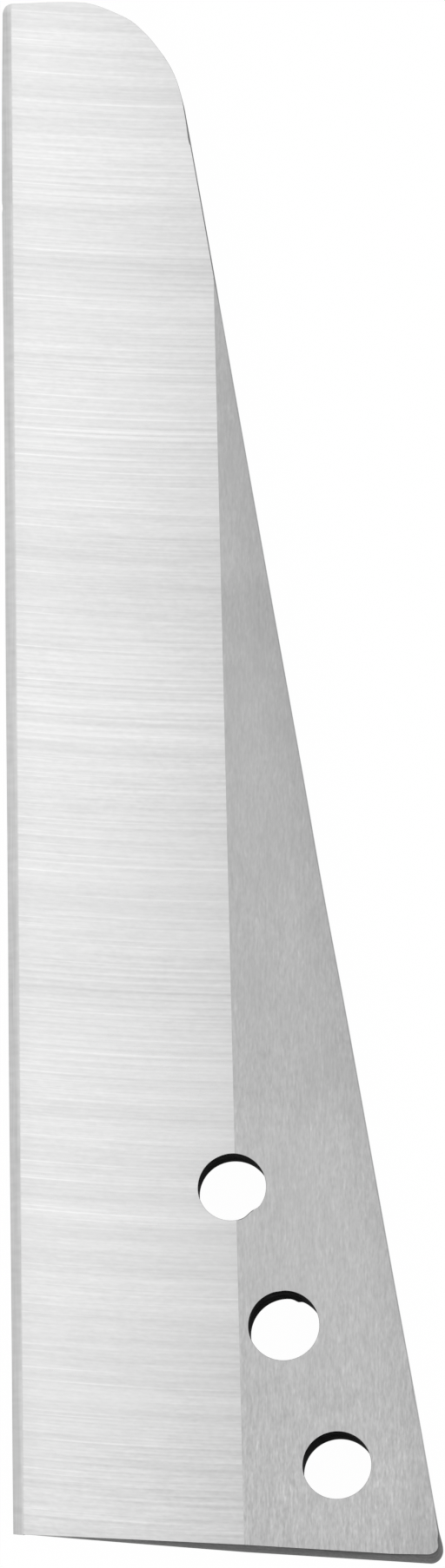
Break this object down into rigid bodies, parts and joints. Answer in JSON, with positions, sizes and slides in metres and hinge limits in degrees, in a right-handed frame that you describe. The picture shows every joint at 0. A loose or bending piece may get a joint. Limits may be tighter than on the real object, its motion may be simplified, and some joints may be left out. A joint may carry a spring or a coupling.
{
  "type": "cable shear blade",
  "caption": "Flat, tapering steel shear blade, ground on both faces to one long straight cutting edge, with a rounded tip and a slanting row of screw holes at its heel.",
  "frame": {"origin": "axis of the middle screw hole, on the back face", "axes": "+Y along the cutting edge from the heel to the tip, +X from the cutting edge to the spine, +Z out of the front face"},
  "size_m": [0.0337, 0.1286, 0.003],
  "materials": {
    "ground_steel": "surface-ground tool steel, fine lines along the flats and across the bevels, satin"
  },
  "bodies": {
    "root": {"blade": "ground_steel"}
  },
  "joints": []
}
